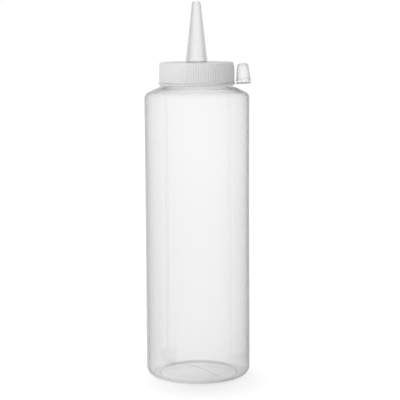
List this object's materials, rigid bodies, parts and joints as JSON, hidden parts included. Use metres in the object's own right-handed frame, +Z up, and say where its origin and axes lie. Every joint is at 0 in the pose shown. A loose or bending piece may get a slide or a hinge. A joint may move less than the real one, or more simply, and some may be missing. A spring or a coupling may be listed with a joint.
{
  "type": "sauce squeeze bottle",
  "caption": "Round squeeze bottle with a screw cap that clamps a tapered nozzle, and a small tip cap parked on a tab of a ring at the cap's foot.",
  "frame": {"origin": "centre of the foot ring, on the surface that the bottle stands on", "axes": "+Z up along the bottle's axis, +X towards the tab with the parked tip cap, +Y away from the pictured side"},
  "size_m": [0.0694, 0.0682, 0.2447],
  "materials": {
    "bottle_plastic": "natural low-density polyethylene, frosted and see-through in the light, satin skin",
    "nozzle_plastic": "natural low-density polyethylene, clearer than the bottle, smooth moulded skin",
    "cap_plastic": "milky polyethylene, satin, with fine upright grip ribs",
    "tether_plastic": "milky polyethylene, satin",
    "tip_cap_plastic": "natural low-density polyethylene, thin and see-through in the light"
  },
  "bodies": {
    "bottle": {"bottle_body": "bottle_plastic", "bottle_neck": "bottle_plastic"},
    "nozzle_body": {"nozzle": "nozzle_plastic", "nozzle_flange": "nozzle_plastic", "plug_ring": "nozzle_plastic"},
    "cap": {"screw_cap": "cap_plastic"},
    "ring": {"tether_ring": "tether_plastic"},
    "tab": {"tether_tab": "tether_plastic"},
    "tip_cap_body": {"tip_cap": "tip_cap_plastic"}
  },
  "joints": [
    {"name": "cap_rise", "type": "slide", "parent": "bottle", "child": "nozzle_body", "axis": [0, 0, 1], "range_m": [0, 0.015]},
    {"name": "cap_turn", "type": "hinge", "parent": "nozzle_body", "child": "cap", "pos_m": [0, 0, 0.198], "axis": [0, 0, 1], "range_deg": [0, 1080]},
    {"name": "ring_swivel", "type": "hinge", "parent": "cap", "child": "ring", "pos_m": [0, 0, 0.19211], "axis": [0, 0, 1], "continuous": true},
    {"name": "tab_flip", "type": "hinge", "parent": "ring", "child": "tab", "pos_m": [0.0257, 0, 0.19211], "axis": [0, 1, 0], "range_deg": [0, 38], "stiffness_Nm_per_rad": 0.01},
    {"name": "tip_cap_lift", "type": "slide", "parent": "tab", "child": "tip_cap_body", "axis": [-0.0523, 0, 0.9986], "range_m": [0, 0.03]}
  ],
  "couplings": [
    {"joint": "cap_turn", "follows": "cap_rise", "rad_per_m": 1256.6}
  ]
}
